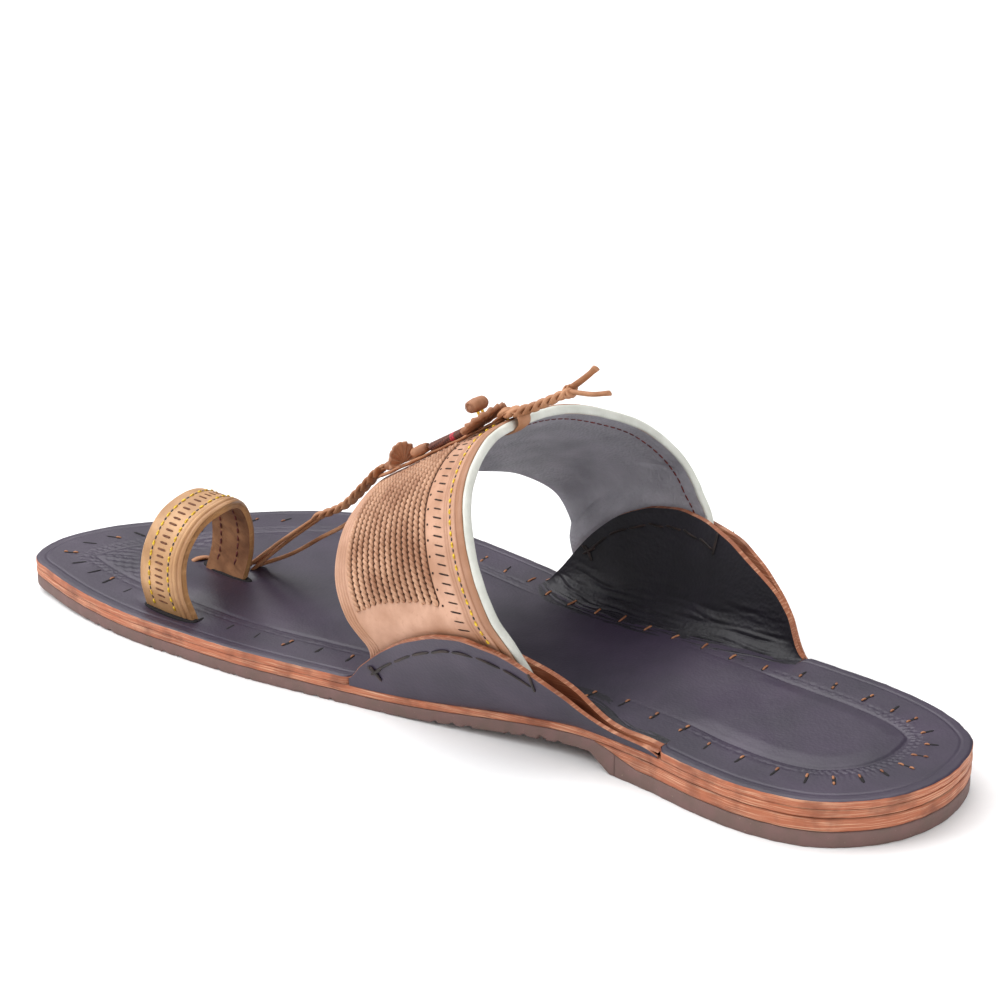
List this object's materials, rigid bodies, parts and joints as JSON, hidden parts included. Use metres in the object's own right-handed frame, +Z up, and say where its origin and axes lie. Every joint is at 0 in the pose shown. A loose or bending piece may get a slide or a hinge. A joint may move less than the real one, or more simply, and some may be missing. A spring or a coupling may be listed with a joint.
{
  "type": "kolhapuri sandal",
  "caption": "Flat slip-on leather toe-ring sandal with a wide arched vamp strap sewn between turned-up side ears, plaited centre thong and layered sole.",
  "frame": {"origin": "centre of the bounding box's bottom, on the ground", "axes": "+Y from heel to toe, +Z up, +X towards the outer (little toe) side of a right foot"},
  "size_m": [0.1056, 0.28, 0.098],
  "materials": {
    "sheet_rubber": "matt taupe sheet rubber, knife-cut at the edge",
    "sole_leather": "burnished tan-orange cut edge",
    "plum_leather": "smooth dark plum-brown leather with a soft sheen",
    "veg_tan_strap": "natural vegetable-tanned leather, satin",
    "thong_leather": "oiled brown leather thong",
    "brass": "polished"
  },
  "bodies": {
    "root": {"outsole": "sheet_rubber", "heel_top_piece": "sheet_rubber", "heel_lift": "sole_leather", "midsole": "sole_leather", "footbed": "plum_leather", "footbed_wing_medial": "plum_leather", "footbed_wing_lateral": "plum_leather", "outer_ear_medial": "plum_leather", "outer_ear_lateral": "plum_leather", "vamp_strap": "veg_tan_strap", "toe_ring": "veg_tan_strap", "toe_thong_1": "thong_leather", "toe_thong_2": "thong_leather", "toe_thong_3": "thong_leather", "toe_thong_4": "thong_leather", "plait_front": "thong_leather", "plait_rear": "thong_leather", "centre_strip": "thong_leather", "plait_tail_long": "thong_leather", "plait_tail_short": "thong_leather", "rosette_rear": "thong_leather", "rosette_front": "thong_leather", "bead_front": "thong_leather", "bead_rear": "thong_leather", "button_knot": "thong_leather", "button_pin": "brass"}
  },
  "joints": []
}
